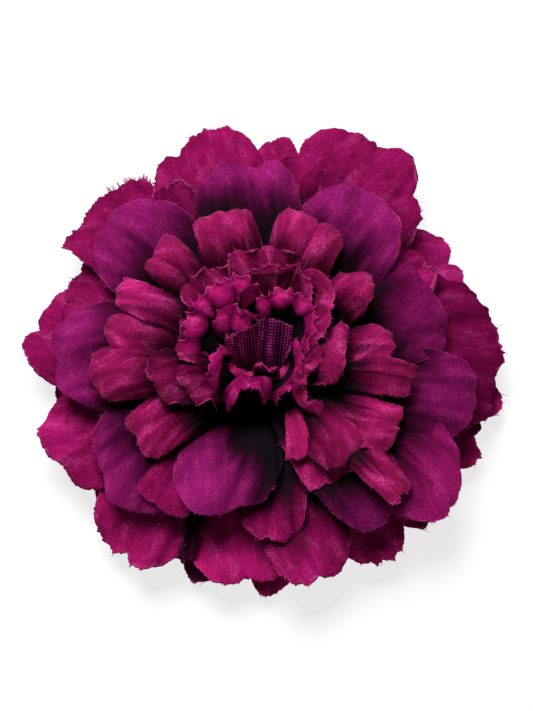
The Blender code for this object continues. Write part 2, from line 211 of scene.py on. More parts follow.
SPOON = dict(
    collar=3, radius=7.8, rise=62, fall=-48, cup=-150, width=14, top=31,
    root=0.4, blunt=0.5, notch=0.13, ripple=0.3, dye=0.54, dye_soft=0.34,
    fold_width=6, folds=0.55, creases=1.3, furrow=0.8, puff=0.4, curl=0.6, wobble=0.12,
    fray=0.35, faces=46,
    petals=[
        blade(343.5, 31.5, width=16.5, top=32.5, cup=-115, furrow=1.3,
              notch_at=8, blunt=0.8, roll=6),
        blade(16.5, 30.5, width=13.5, top=32, notch_at=80, furrow=0.2),
        blade(30.5, 30.5, width=10.5, tier=-0.4, notch_at=80, furrow=0.2),
        blade(56.5, 26.5, roll=-15, tier=0.4, notch_at=60, furrow=0.3),
        blade(92, 28, top=30, notch_at=30, cup=-120, furrow=0.5),
        blade(104.5, 33.5, width=8.5, top=28.5, roll=25, cup=-70, notch=0.05,
              furrow=0.2, lean=-4, shade=0.85),
        blade(121, 34.5, width=14.5, top=27, lean=-16, roll=-12, cup=-90, lobes=3.0, shade=1.15),
        blade(143, 31.5, width=15, top=28.5, tier=0.6, cup=-110, shade=0.85),
        blade(136.5, 45, width=10, top=25, fall=-35, cup=-100, roll=-18, dye=0.7, dye_soft=0.2),
        blade(232.5, 34, width=15, top=27, rise=56, cup=-130, lobes=3.0),
        blade(261, 36.5, width=16.5, top=28, notch_at=70, furrow=0.4, tier=-0.3, shade=0.9),
        blade(275, 33, top=29, tier=0.1, notch_at=75, furrow=0.3, shade=0.85),
        blade(288, 32.5, width=8.5, blunt=0.9, tier=0.9, roll=-18, cup=-70,
              notch_at=-50, notch=0.3, furrow=0.1, shade=1.7, purple=0.25),
        blade(313.5, 32.8, width=13.5, tier=0.2, notch_at=-10, notch=0.2, furrow=2.2),
        # A pale tongue, and a coarser one behind it
        blade(165, 26, width=5.8, top=27.5, rise=70, fall=-50, cup=-35, lean=22,
              root=0.15, shoulder=1.3, widest=0.72, dye=0.35, shade=1.5, furrow=0.2,
              faces=32),
        blade(154, 33, width=10, top=24, rise=46, fall=-30, cup=-25, furrow=0.3,
              roll=-5, shade=1.2, faces=36),
    ],
)

RUFFLE = dict(
    collar=4, radius=6.6, rise=74, fall=20, cup=25, width=11, top=36,
    widest=0.68, root=0.28, shoulder=1.6, blunt=0.4, lobes=3.0, notch=0.18, waves=5.0,
    ripple=1.2, dye=0.62, fray=0.35, curl=1.5, fold_width=3, folds=0.6,
    shade=0.9, faces=44,
    petals=[
        blade(309, 19.5, shade=0.62, ripple=1.8),
        blade(330, 18.5, tier=-0.6, shade=0.55, ripple=1.6),
        blade(350, 19.5, width=9, top=37, shade=0.8, ripple=1.6),
        blade(12, 20.5, width=10, top=37, tier=-0.8, shade=0.6, ripple=1.8),
        blade(101, 18.5, width=15, top=35, fall=-20, cup=-70, fold_width=7, notch=0.1),
        blade(236, 20, top=34, fall=-20, cup=-40, tier=-0.5, shade=0.5),
        blade(270, 18, top=34, shade=0.6),
        blade(248, 25, width=14, top=32, rise=66, fall=-40, cup=-80, fold_width=5,
              creases=1.2, shade=0.42),
    ],
)

# Frills: pinked strips that stand round the centre. Each has the line of its rim, as
# points (x, y, z), and sweeps clockwise. The top of a strip is rolled outward round an
# arc, from its first to its last angle, where 180 faces the axis, 90 faces up and 0
# faces out, and ends in a toothed flange. Its gathers swell it into bubbles.
STRIP = dict(
    wall=0.35,          # where the roll starts, as a share of the strip's height
    rolled=0.85,        # where the roll ends and the flange starts
    arc=(205, 60),
    puffs=(1.8, 1.8),   # the roll's radius at its two ends
    bubbles=3,
    pinch=0.6,          # how much slimmer the roll is between bubbles
    drop=5,             # how far its two ends dip
    flange=1.8,
    lift=35,            # the flange's slope
    tooth=1.3,          # depth of the pinked teeth
    fray=0.5,
    crumple=0.35,       # size of the broad folds
    dents=0.42,         # and of the small ones
    dye=0.4, dye_soft=0.25, purple=0.0, shade=1.0, faces=150, rows=34)

# One with a slight roll and hardly a bubble
FLAT_STRIP = dict(puffs=(0.6, 0.8), arc=(180, 60), pinch=0.2, tooth=0.35, crumple=0.8)

RUFFLE_STRIPS = dict(
    collar=4, radius=6.6,
    strips=[
        dict(FLAT_STRIP,
             rim=[(-3.8, 11.4, 36), (-2.0, 13.6, 36.5), (2.0, 14.4, 37), (5.2, 14.4, 37),
                  (7.8, 13.2, 36.5), (9.2, 10.8, 36), (8.6, 7.6, 35.5)],
             puffs=(0.5, 0.5), tooth=0.3, flange=0.7, lift=60, wall=0.8, rolled=0.92,
             crumple=1.5, fray=0.9, dye=0.15, drop=4, shade=0.85),
        dict(FLAT_STRIP,
             rim=[(8.4, 10.4, 35), (10.6, 11.6, 35.5), (11.6, 9.4, 36), (11.2, 6.0, 36),
                  (10.8, 3.0, 35.5), (9.2, 0.6, 34.5), (8.2, -1.0, 33.5)],
             puffs=(0.9, 0.7), arc=(180, 75), flange=3.2, lift=15, rolled=0.6, dye=0.1),
        dict(FLAT_STRIP,
             rim=[(12.7, 0.4, 34), (11.0, -3.2, 35), (8.6, -6.0, 35), (6.9, -9.4, 34.5),
                  (7.2, -11.8, 33.5), (9.8, -14.2, 32), (13.5, -14.0, 30)],
             puffs=(0.7, 0.7), bubbles=2, lift=-15, rolled=0.65, dye=0.1),
    ],
)

FRILL = dict(
    collar=5, radius=5.4,
    strips=[
        dict(rim=[(-15.4, -4.0, 34), (-13.8, -0.2, 35), (-12.9, 3.8, 35.5),
                  (-11.0, 6.8, 36), (-7.2, 9.2, 36.5), (-4.4, 10.4, 37), (-2.0, 8.6, 37)],
             bubbles=5.5, puffs=(2.1, 2.9)),
        dict(rim=[(-0.8, 6.0, 36.5), (1.8, 7.0, 36.5), (5.2, 7.9, 36.5), (8.6, 5.8, 36),
                  (9.8, 3.0, 35.5), (8.0, -2.0, 34.5)],
             bubbles=4.5, puffs=(2.4, 0.8), shade=0.85),
        dict(FLAT_STRIP,
             rim=[(6.2, 0.4, 34.5), (7.4, -4.6, 34.5), (5.9, -9.6, 34), (2.4, -11.6, 33)],
             arc=(180, 80), tooth=0.3, flange=0.9, shade=0.65, lift=10, rolled=0.8, crumple=0.5),
        dict(FLAT_STRIP,
             rim=[(2.2, -10.8, 32.5), (0.8, -8.6, 33.5), (-2.2, -8.6, 34), (-5.0, -9.2, 34),
                  (-7.6, -11.8, 32.5)],
             arc=(180, 50), tooth=0.3, lift=-5, rolled=0.7),
        dict(FLAT_STRIP,
             rim=[(-9.8, -10.8, 31), (-9.0, -8.0, 33), (-8.7, -5.4, 33.8), (-7.7, -3.4, 34),
                  (-6.2, -2.2, 33.5)],
             puffs=(0.6, 0.6), arc=(180, 75), tooth=0.4, flange=1.9, lift=20, rolled=0.6,
             crumple=0.7, shade=0.85),
        dict(rim=[(-8.6, 2.0, 33.5), (-6.4, 5.4, 34.5), (-4.0, 3.2, 34.5), (-1.8, 5.4, 36)],
             bubbles=2.5, puffs=(1.7, 2.1), shade=0.8),
    ],
)
FRILL_FLARE = 1.25      # 1 is a straight wall, more flares towards the top
CREVICE_PAINTED_SHADE = 1.1      # painted shade: how much darker the pinches between its bubbles are
TOOTH_PITCH = 1.7       # pinking shears

TUFT = dict(
    collar=6, radius=4.2, rise=88, fall=70, cup=50, width=8, top=33,
    widest=0.7, root=0.4, blunt=0.6, notch=0.07, ripple=0.2, curl=0.3, wobble=0.2,
    puff=0.2, folds=0.2, creases=0.2, fold_width=1.6, dye=0.8, faces=60,
    petals=[
        blade(15, 5.5, top=32, ribs=15),
        blade(88, 6, ribs=13),
        blade(300, 7, top=32, width=9, ribs=15),
    ],
    # Two that lean back over the middle, and hide the peg
    strips=[
        dict(rim=[(-7.6, -0.2, 33.5), (-5.2, 1.2, 34.3), (-3.0, 2.1, 34.6), (-1.0, 2.8, 34.6)],
             foot_line=[(-5.6, -7.4, 26), (-3.6, -7.0, 26), (-2, -6.6, 26), (0.2, -5.6, 26)],
             ribs=12, drop=0, dye=0.3, shade=0.8),
        dict(rim=[(-0.9, 3.6, 34.8), (1.4, 3.9, 35.2), (3.8, 3.4, 35.2), (6.4, 2.2, 34.6)],
             foot_line=[(-1.6, -6.4, 26), (0.4, -6.8, 26), (2.6, -7.2, 26.5), (4.8, -7.0, 27)],
             ribs=14, drop=0, dye=0.25, purple=0.5, shade=1.1),
    ],
)
LIPS = dict(
    collar=6, radius=4.2, rise=84, fall=10, cup=60, width=8, top=30, widest=0.7,
    root=0.4, blunt=0.4, notch=0.05, ripple=0.5, dye=0.5, fold_width=1.6, folds=0.3, faces=44,
    petals=[
        blade(150, 8),
        blade(224, 8.5),
        blade(172, 5.6, top=35, rise=86, fall=100, width=6, cup=-50, blunt=0.1),
    ],
)
RIB_HEIGHT = 0.28       # ribs of the coarse mesh
MESH_BELLY = 1.6        # how far each of its sheets swells between its edges
MESH_FACING = Vector((0.0, -0.5, 0.85))     # the way that they face and swell

# Frayed threads at the rims
THREAD_RADIUS = 0.07    # more than a real filament's, so that they show
THREAD_PLACES = 200     # on each rim
THREAD_SHARE = 0.38     # share of those places that have one
RIM_LOW = 0.3           # how far below the widest point the first and last place lie
THREAD_SPREAD = 40      # how far a thread turns from straight out
THREAD_LENGTHS = ((0.78, 0.25, 0.5), (0.19, 0.5, 1.0), (0.03, 1.0, 2.4))   # share, least, most
FRINGE_LENGTH = 1.7     # of threads that stand in a row, where the cross threads are lost
FRINGE_STOUTNESS = 2.0  # how many times thicker those are

# Cloth. The photograph doesn't resolve its threads, so both spacings are guesses, as
# coarse as they need to be to show as grain.
THREAD_PITCH = 0.3      # of the petals' plain weave
MESH_PITCH = 0.66       # of the coarse mesh in the centre
PAINTED_DEPTH_SHADE = 0.14       # painted shade: the tone of the cloth at a root or a frill's foot, where the cloth above covers it
GLOSS_TINT = "#e0509c"
# The colour of the painted satin highlight on the folds
PAINTED_SATIN_HIGHLIGHT = "#dc4c9c"
# The black of the root dye, also used as painted shade in the gaps
BLACK_DYE_AND_SHADE = "#161116"


def hex_colour(text):
    """A linear colour from an sRGB hex value."""
    parts = [int(text[i:i + 2], 16) / 255 for i in (1, 3, 5)]
    linear = [p / 12.92 if p <= 0.04045 else ((p + 0.055) / 1.055) ** 2.4 for p in parts]
    return (*linear, 1.0)


def add_node(tree, kind, inputs=None, **settings):
    """Add a node. An input is a value, or the socket or node that it is linked from, and a
    node gives its first output."""
    made = tree.nodes.new(f"ShaderNode{kind}")
    for name, value in settings.items():
        setattr(made, name, value)
    for key, value in (inputs or {}).items():
        if isinstance(value, bpy.types.Node):
            value = value.outputs[0]
        if isinstance(value, bpy.types.NodeSocket):
            tree.links.new(value, made.inputs[key])
        else:
            made.inputs[key].default_value = value
    return made


MIX_FACTOR, MIX_A, MIX_B, MIX_RESULT = 0, 6, 7, 2      # sockets of a colour Mix node


def new_material(name, **settings):
    """A Principled material and its node tree."""
    material = bpy.data.materials.new(name)
    material.use_nodes = True
    tree = material.node_tree
    shader = tree.nodes["Principled BSDF"]
    for key, value in settings.items():
        shader.inputs[key.replace("_", " ").title().replace("Ior", "IOR")].default_value = value
    return material, tree, shader


def chequer(tree, cloth, pitch):
    """A soft chequer from -1 to 1, with one square where two threads cross."""
    waves = []
    for run in add_node(tree, "SeparateXYZ", {0: cloth}).outputs[:2]:
        turn = add_node(tree, "Math", {0: run, 1: math.pi / pitch},
                        operation="MULTIPLY")
        waves.append(add_node(tree, "Math", {0: turn}, operation="SINE"))
    return add_node(tree, "Math", {0: waves[0], 1: waves[1]},
                    operation="MULTIPLY")


def weave(tree, cloth, pitch):
    """Height from 0 to 1 of a plain weave: warp and weft threads pass over in turn."""
    return add_node(tree, "Math", {0: chequer(tree, cloth, pitch), 1: 0.5, 2: 0.5},
                    operation="MULTIPLY_ADD")


def open_mesh(tree, cloth, pitch):
    """Height of a coarse mesh: a blob for each stitch, and holes and lines between, which its
    tones paint dark as shade.
    """
    return add_node(tree, "Math", {0: chequer(tree, cloth, pitch)},
                    operation="ABSOLUTE")


def thread_streaks(tree, cloth, across_scale, along_scale):
    """Slow change of tone from thread to thread, much longer along them than across."""
    place = add_node(tree, "Mapping", {0: cloth, "Scale": (across_scale, along_scale, 1)})
    return add_node(tree, "TexNoise",
                    {"Vector": place, "Scale": 1.0, "Detail": 1.0})


def petal_cloth(name, magenta, purple, rim, pattern=weave, pitch=THREAD_PITCH,
                weave_tones=(0.78, 1.22), painted_sheen=0.9, gloss=0.04, bump=0.6):
    """Woven polyester, dyed, stiffened and pressed.

    It has a painted satin highlight on its folds, with single threads painted glinting there.
    Its cut rim is paler. Black root dye darkens it from its root, through a deeper magenta, and
    reaches on as painted shade in the gaps. The large petals have no gloss, which would turn
    them grey where they are seen along their face.
    """
    material, tree, shader = new_material(
        name, roughness=0.5, specular_ior_level=gloss, specular_tint=hex_colour(GLOSS_TINT))
    place = add_node(tree, "TexCoord").outputs["Object"]
    cloth = add_node(tree, "UVMap", uv_map="cloth")
    dye, rim_line, shade, purple_share = (
        add_node(tree, "Attribute", attribute_name=layer).outputs["Fac"]
        for layer in ("root_dye", "rim_line", "shade", "purple"))
    blotch = add_node(tree, "TexNoise",
                      {"Vector": place, "Scale": 150.0, "Detail": 5.0, "Roughness": 0.6})
    hue = add_node(tree, "Mix",
                   {MIX_FACTOR: purple_share, MIX_A: hex_colour(magenta),
                    MIX_B: hex_colour(purple)}, data_type="RGBA")
    hump = pattern(tree, cloth, pitch)
    cell = add_node(tree, "VectorMath",
                    {0: cloth, 1: (pitch, pitch, pitch)}, operation="SNAP")
    chance = add_node(tree, "TexWhiteNoise", {"Vector": cell},
                      noise_dimensions="2D")
    lies = add_node(tree, "Mapping", {0: cloth, "Scale": (0.32, 0.1, 1)})
    sweep = add_node(tree, "TexNoise",
                     {"Vector": lies, "Scale": 1.0, "Detail": 3.0,
                      "Roughness": 0.6})
    # Uneven dye, threads that are lighter or darker along their length, and painted shade in
    # bands beside the satin highlight: each pattern, the two values of it that count, and the
    # tones that they give
    uneven = ((blotch, 0.3, 0.7, 0.7, 1.3),
              (chance, 0.0, 1.0, 0.82, 1.18),
              (thread_streaks(tree, cloth, 0.7 / pitch, 0.12), 0.3, 0.7, 0.88, 1.12),
              (thread_streaks(tree, cloth, 0.12, 0.7 / pitch), 0.3, 0.7, 0.92, 1.08),
              (hump, 0.2, 0.8, *weave_tones),
              (sweep, 0.35, 0.55, 1.0 - 0.3 * painted_sheen, 1.0 + 0.05 * painted_sheen))
    # Starts from each petal's tone, which holds painted light and shade
    tone = shade
    for value, start, end, dark, light in uneven:
        step = add_node(tree, "MapRange",
                        {0: value, 1: start, 2: end, 3: dark, 4: light})
        tone = add_node(tree, "Math", {0: tone, 1: step},
                        operation="MULTIPLY")
    toned = add_node(tree, "VectorMath",
                     {0: hue.outputs[MIX_RESULT], "Scale": tone}, operation="SCALE")
    # Paler cut rim
    worn = add_node(tree, "MapRange",
                    {0: blotch, 1: 0.4, 2: 0.6, 3: 0.25, 4: 0.85})
    pale = add_node(tree, "Math", {0: rim_line, 1: worn},
                    operation="MULTIPLY")
    rimmed = add_node(tree, "Mix",
                      {MIX_FACTOR: pale, MIX_A: toned,
                       MIX_B: hex_colour(rim)}, data_type="RGBA")
    # Painted highlight: satin patches on the folds, where the tops of the threads would catch
    # the light
    patch = add_node(tree, "MapRange",
                     {0: sweep, 1: 0.5, 2: 0.66, 3: 0.0, 4: 1.0})
    rare = add_node(tree, "Math", {0: chance, 1: 1.5},
                    operation="POWER")
    crown = add_node(tree, "Math", {0: rare, 1: hump},
                     operation="MULTIPLY")
    crown = add_node(tree, "Math", {0: crown, 1: 1.25, 2: 0.08},
                     operation="MULTIPLY_ADD")
    painted_glint = crown
    for share in (patch, painted_sheen, shade):
        painted_glint = add_node(tree, "Math", {0: painted_glint, 1: share},
                         operation="MULTIPLY")
    flecked = add_node(tree, "Mix",
                       {MIX_FACTOR: painted_glint, MIX_A: rimmed.outputs[MIX_RESULT],
                        MIX_B: hex_colour(PAINTED_SATIN_HIGHLIGHT)}, data_type="RGBA")
    # The black root dye, which also stands as painted shade in the gaps between petals
    rest = add_node(tree, "Math", {0: 1.0, 1: dye}, operation="SUBTRACT")
    rest = add_node(tree, "Math", {0: rest, 1: 1.4}, operation="POWER")
    kept = add_node(tree, "VectorMath",
                    {0: flecked.outputs[MIX_RESULT], "Scale": rest},
                    operation="SCALE")
    black = add_node(tree, "Math", {0: dye, 1: 3.0}, operation="POWER")
    dyed = add_node(tree, "VectorMath",
                    {0: hex_colour(BLACK_DYE_AND_SHADE)[:3], 1: black, 2: kept},
                    operation="MULTIPLY_ADD")
    tree.links.new(dyed.outputs[0], shader.inputs["Base Color"])
    raised = add_node(tree, "Bump",
                      {"Strength": bump, "Distance": 0.12 * MM, "Height": hump})
    tree.links.new(raised.outputs[0], shader.inputs["Normal"])
    return material


def thread_polyester(name, colour):
    """Loose polyester threads, a shade paler than the cloth that they come from."""
    material, tree, shader = new_material(name, roughness=0.6, specular_ior_level=0.0)
    place = add_node(tree, "TexCoord").outputs["Object"]
    patch = add_node(tree, "TexNoise", {"Vector": place, "Scale": 300.0})
    mixed = add_node(tree, "Mix",
                     {MIX_FACTOR: patch, MIX_A: hex_colour(colour),
                      MIX_B: hex_colour("#8a1558")}, data_type="RGBA")
    tree.links.new(mixed.outputs[MIX_RESULT], shader.inputs["Base Color"])
    return material


def calyx_plastic(name):
    """Injection moulded polyethylene in leaf green, satin, with a fine eroded grain."""
    material, tree, shader = new_material(name, roughness=0.42, specular_ior_level=0.5)
    place = add_node(tree, "TexCoord").outputs["Object"]
    cloud = add_node(tree, "TexNoise", {"Vector": place, "Scale": 220.0, "Detail": 4.0})
    grain = add_node(tree, "TexNoise", {"Vector": place, "Scale": 3500.0})
    mixed = add_node(tree, "Mix",
                     {MIX_FACTOR: cloud, MIX_A: hex_colour("#2c4a20"),
                      MIX_B: hex_colour("#4a6b31")}, data_type="RGBA")
    tree.links.new(mixed.outputs[MIX_RESULT], shader.inputs["Base Color"])
    raised = add_node(tree, "Bump",
                      {"Strength": 0.3, "Distance": 0.03 * MM, "Height": grain})
    tree.links.new(raised.outputs[0], shader.inputs["Normal"])
    return material


def foot_height(whorl):
    """The height at which a whorl's roots leave their collar."""
    return NUB_HEIGHT + GAP + whorl["collar"] * COLLAR_PITCH + COLLAR_HEIGHT / 2


def full_petal(whorl, row, seed):
    """A petal's values: the plain ones, its whorl's and its own, raised by its tier."""
    petal = {**PLAIN_PETAL, **whorl, **row, "seed": seed}
    petal["foot"] = foot_height(whorl) + petal["tier"] * TIER_FOOT
    petal["rise"] += petal["tier"] * TIER_RISE
    petal["top"] += petal["tier"] * TIER_TOP
    petal["length"] = math.hypot(petal["out"] - petal["radius"], petal["top"] - petal["foot"])
    return petal


def midline(petal, share):
    """Radius, height and slope on a petal's midline, at a share of its length."""
    foot = Vector((petal["radius"] - ROOT_INSET, petal["foot"]))
    tip = Vector((petal["out"], petal["top"]))
    handle = (tip - foot).length * HANDLE
    rise, fall = math.radians(petal["rise"]), math.radians(petal["fall"])
    lower = foot + handle * Vector((math.cos(rise), math.sin(rise)))
    upper = tip - handle * Vector((math.cos(fall), math.sin(fall)))
    rest = 1.0 - share
    place = (rest ** 3 * foot + 3 * rest ** 2 * share * lower
             + 3 * rest * share ** 2 * upper + share ** 3 * tip)
    run = (rest ** 2 * (lower - foot) + 2 * rest * share * (upper - lower)
           + share ** 2 * (tip - upper))
    return place.x, place.y, math.atan2(run.y, run.x)


def outline(petal, a, b):
    """Turn a point of the square grid into shares across and along the blade.

    Above the widest point the square is rounded towards a disc, and below it the sides
    draw in to the root. The rim then gets its cuts and frayed bites. Also gives how near
    the rim the point is, how far round the tip it lies and how far up its scallop.
    """
    if b > 0.0:
        roundness = 1.0 - petal["blunt"]
        across = a * math.sqrt(1.0 - roundness * b * b / 2)
        reach = b * math.sqrt(1.0 - roundness * a * a / 2)
        rim = max(abs(a), b)
    else:
        across = a * (1.0 - (1.0 - petal["root"]) * (-b) ** petal["shoulder"])
        reach = b
        rim = abs(a)
    turn = math.atan2(across, max(reach, 0.0) + FAN_CENTRE)
    seed = petal["seed"]
    shift = petal["uneven"] * noise.noise(Vector((turn * 1.3, seed, 2.2)))
    scallop = abs(math.sin(
        petal["lobes"] * (turn + shift - math.radians(petal["notch_at"])) / 2))
    window = min(1.0, max(0.0, reach - CUTS_START) / CUTS_BLEND)
    half = petal["width"] / 2
    place = Vector((across * half, reach * half, seed))
    bite = 1.0 + sum(noise.noise(place / length) for length in FRAY_WAVES)
    trim = 1.0 + window * (
        petal["wobble"] * noise.noise(Vector((turn * 0.9, seed, 4.4))) * rim ** 2
        - petal["notch"] * (1.0 - scallop) ** 2 * rim ** 4
        - petal["fray"] / half * bite * rim ** 20)
    across *= trim
    reach *= trim if reach > 0.0 else 1.0
    below = 1.0 - petal["widest"] if reach > 0.0 else petal["widest"]
    return across, petal["widest"] + reach * below, rim, turn, scallop, window


def relief(petal, across, along, rim, turn, scallop, window):
    """How far a point of the cloth stands off the plain blade."""
    seed = petal["seed"]
    # Waves of the rim, pressed folds, and creases that run down from the cuts
    lift = petal["ripple"] * rim ** 3 * along * math.sin(
        petal["waves"] * turn + math.radians(petal["phase"]))
    lift += petal["flute"] * along ** 1.5 * math.cos(math.pi * petal["flutes"] * across)
    lift -= petal["puff"] * (1.0 - scallop) ** 2 * window * rim ** 1.5
    lift -= petal["furrow"] * (1.0 - scallop) ** 3 * smooth_step(1.6 * along)
    # Soft folds and sharper creases that fan out from the root. The last number of each
    # place keeps one noise apart from the next.
    ray = across * petal["width"] / 2 / (along + FOLD_FOCUS) / petal["fold_width"]
    near = min(1.0, 2 * along)
    lift += near * petal["folds"] * 2 * noise.noise(Vector((ray * 1.3, along * 1.6, seed)))
    lift += near * petal["folds"] * 0.7 * noise.noise(
        Vector((ray * 3.7, along * 2.4, seed + 1.1)))
    lift -= near * petal["creases"] * abs(
        noise.noise(Vector((ray * 2.3, along * 1.1, seed + 3.3))))
    # The curled rim, fine wrinkles, and the ribs of the mesh
    lift += petal["curl"] * rim ** 5 * window * noise.noise(
        Vector((turn * CURL_TURNS, seed, 7.7)))
    spot = Vector((across * petal["width"] / 2, along * petal["length"], seed))
    lift += WRINKLE * noise.noise(spot / WRINKLE_WAVE)
    if petal["ribs"]:
        lift += RIB_HEIGHT * abs(math.sin(math.pi * petal["ribs"] * across / 2))
    return lift


def petal_point(petal, spot):
    """The place, in millimetres, of a spot of a petal's outline."""
    across, along = spot[:2]
    radius, height, slope = midline(petal, along)
    heading = math.radians(petal["clock"] - petal["lean"] * (1.0 - along))
    outward = Vector((math.sin(heading), math.cos(heading), 0.0))
    side = Vector((math.cos(heading), -math.sin(heading), 0.0))
    forward = math.cos(slope) * outward + Vector((0.0, 0.0, math.sin(slope)))
    face = side.cross(forward)
    twist = Matrix.Rotation(math.radians(petal["roll"]) * along, 3, forward)
    side, face = twist @ side, twist @ face
    bend = math.radians(petal["cup"]) / petal["width"]
    reach = across * petal["width"] / 2
    shift = math.sin(bend * reach) / bend
    lift = (1.0 - math.cos(bend * reach)) / bend + relief(petal, *spot)
    return radius * outward + Vector((0.0, 0.0, height)) + side * shift + face * lift


def path_point(points, share):
    """A point on a smooth line through the given points, at a share of its spans."""
    spans = len(points) - 1
    span = min(int(share * spans), spans - 1)
    t = share * spans - span
    p, q, r, s = (Vector(points[min(max(span + k, 0), spans)]) for k in (-1, 0, 1, 2))
    return 0.5 * (2 * q + (r - p) * t + (2 * p - 5 * q + 4 * r - s) * t ** 2
                  + (3 * q - p - 3 * r + s) * t ** 3)


def crumple(place):
    """A smooth vector noise that is the same in each run."""
    return Vector([noise.noise(place + Vector((0.0, 0.0, shift))) for shift in (20, 40, 60)])


def strip_column(strip, share):
    """What the points of one column of a strip share."""
    rim = path_point(strip["rim"], share)
    rim.z -= strip["drop"] * (1.0 - math.sin(math.pi * share)) ** 4
    ahead = path_point(strip["rim"], min(1.0, share + 0.02))
    behind = path_point(strip["rim"], max(0.0, share - 0.02))
    along = (ahead - behind).to_2d().normalized()
    if "foot_line" in strip:
        foot = path_point(strip["foot_line"], share)
    else:
        flat = rim.to_2d().normalized() * (strip["radius"] - ROOT_INSET)
        foot = Vector((flat.x, flat.y, strip["foot"]))
    gather = math.pi * strip["bubbles"] * share + 0.9 * noise.noise(
        Vector((share * strip["bubbles"] * 0.7, strip["seed"], 0.0)))
    first_puff, last_puff = strip["puffs"]
    puff = first_puff + (last_puff - first_puff) * share
    slim = strip["pinch"] * (1.0 - abs(math.sin(gather)) ** 0.8)
    return dict(
        rim=rim, foot=foot, out=Vector((-along.y, along.x, 0.0)),
        slim=slim, puff=puff * (1.0 - slim), hub=rim + Vector((0, 0, slim * puff * 0.4)))


def strip_point(strip, column, share, rise):
    """The place, in millimetres, of a point on a frill: a wall, a roll and a flange."""
    up = Vector((0.0, 0.0, 1.0))
    puff, out = column["puff"], column["out"]
    first, last = (math.radians(angle) for angle in strip["arc"])
    hub = column["hub"] - up * puff
    run = share * strip["run"]
    wall, rolled = strip["wall"], strip["rolled"]
    if rise < wall:
        climb = rise / wall
        end = hub + puff * (math.cos(first) * out + math.sin(first) * up)
        foot = column["foot"]
        place = foot + (end - foot) * climb ** FRILL_FLARE
        place.z = foot.z + (end.z - foot.z) * climb
    else:
        over = min(1.0, (rise - wall) / (rolled - wall))
        angle = first + (last - first) * over
        place = hub + puff * (math.cos(angle) * out + math.sin(angle) * up)
        flange = max(0.0, (rise - rolled) / (1.0 - rolled))
        saw = abs((run / TOOTH_PITCH) % 1.0 - 0.5) * 2
        bite = sum(noise.noise(Vector((run / length, strip["seed"], 9.9)))
                   for length in FRAY_WAVES)
        reach = flange * strip["flange"] - (strip["tooth"] * saw + strip["fray"] * bite) * (
            flange ** 3)
        lift = math.radians(strip["lift"])
        place = place + reach * (math.cos(lift) * out + math.sin(lift) * up)
    fold = crumple(Vector((run / 3.2, rise * 2.2, strip["seed"])))
    dent = crumple(Vector((run / 1.3, rise * 5, strip["seed"])))
    return place + rise * (strip["crumple"] * 1.4 * fold + strip["dents"] * dent)


def mesh_point(strip, column, share, rise):
    """The place, in millimetres, of a point on a ribbed sheet of coarse mesh."""
    place = column["foot"].lerp(column["rim"], rise)
    bulge = MESH_BELLY * (math.sin(math.pi * share) - 0.6) * math.sin(
        math.pi * (0.9 - 0.75 * rise))
    rib = RIB_HEIGHT * abs(math.sin(math.pi * strip["ribs"] * share))
    ragged = 0.7 * noise.noise(Vector((share * strip["run"] / 0.4, 3.0, 0.0))) * rise ** 12
    return place + MESH_FACING * (bulge + rib) + Vector((0, 1, 0.5)) * ragged


def smooth_step(value):
    """From 0 to 1 with soft ends."""
    value = min(1.0, max(0.0, value))
    return value * value * (3 - 2 * value)


def cloth_layers(bm):
    """The layers that the cloth's material reads."""
    names = ("root_dye", "rim_line", "shade", "purple")
    return {name: bm.verts.layers.float.new(name) for name in names} | {
        "cloth": bm.loops.layers.uv.new("cloth")}


def lay_cloth(verts, layers, values, flat, grain):
    """Write the attributes of new vertices and the cloth's own flat coordinates, in mm.

    The grain is the angle of the warp.
    """
    turn = Matrix.Rotation(grain, 2)
    for vert in verts:
        for name, value in values[vert].items():
            vert[layers[name]] = value
    for face in {face for vert in verts for face in vert.link_faces}:
        for loop in face.loops:
            loop[layers["cloth"]].uv = turn @ flat[loop.vert]


def add_petal(bm, layers, petal, grain):
    """Lay one petal as a bent grid."""
    count = petal["faces"]
    made = bmesh.ops.create_grid(bm, x_segments=count, y_segments=count, size=1.0)["verts"]
    values, flat = {}, {}
    for vert in made:
        spot = outline(petal, vert.co.x, vert.co.y)
        across, along, rim = spot[:3]
        stain = 0.12 * noise.noise(Vector((across * 2.1, along * 3.0, petal["seed"])))
        stain += 0.08 * noise.noise(Vector((across * 9.0, along * 2.0, petal["seed"])))
        dye = (petal["dye"] + petal["dye_slant"] * across + stain - along) / petal["dye_soft"]
        cloud = noise.noise(Vector((across * 1.5, along * 1.5, petal["seed"] + 5)))
        # Black root dye that reaches on as painted shade, and a tone painted darker towards the
        # root, where petals above shade it, over a random cloud
        values[vert] = {
            "root_dye": smooth_step(dye + 0.5),
            "rim_line": 1.0 if rim > 0.999 and along > 0.3 else 0.0,
            "shade": petal["shade"] * (
                PAINTED_DEPTH_SHADE + (1.12 - PAINTED_DEPTH_SHADE) * smooth_step((along - 0.2) / 0.65)
                + 0.35 * cloud),
            "purple": min(1.0, max(0.0, petal["purple"] + 0.15 * cloud)),
        }
        flat[vert] = Vector((across * petal["width"] / 2, along * petal["length"]))
        vert.co = petal_point(petal, spot) * MM
    lay_cloth(made, layers, values, flat, grain)


def full_strip(whorl, row, seed):
    """A strip's values, with its foot and the length of its rim."""
    strip = {**STRIP, **row, "seed": seed, "radius": whorl["radius"], "foot": foot_height(whorl)}
    points = [Vector(point) for point in strip["rim"]]
    strip["run"] = sum((q - p).length for p, q in zip(points, points[1:]))
    return strip


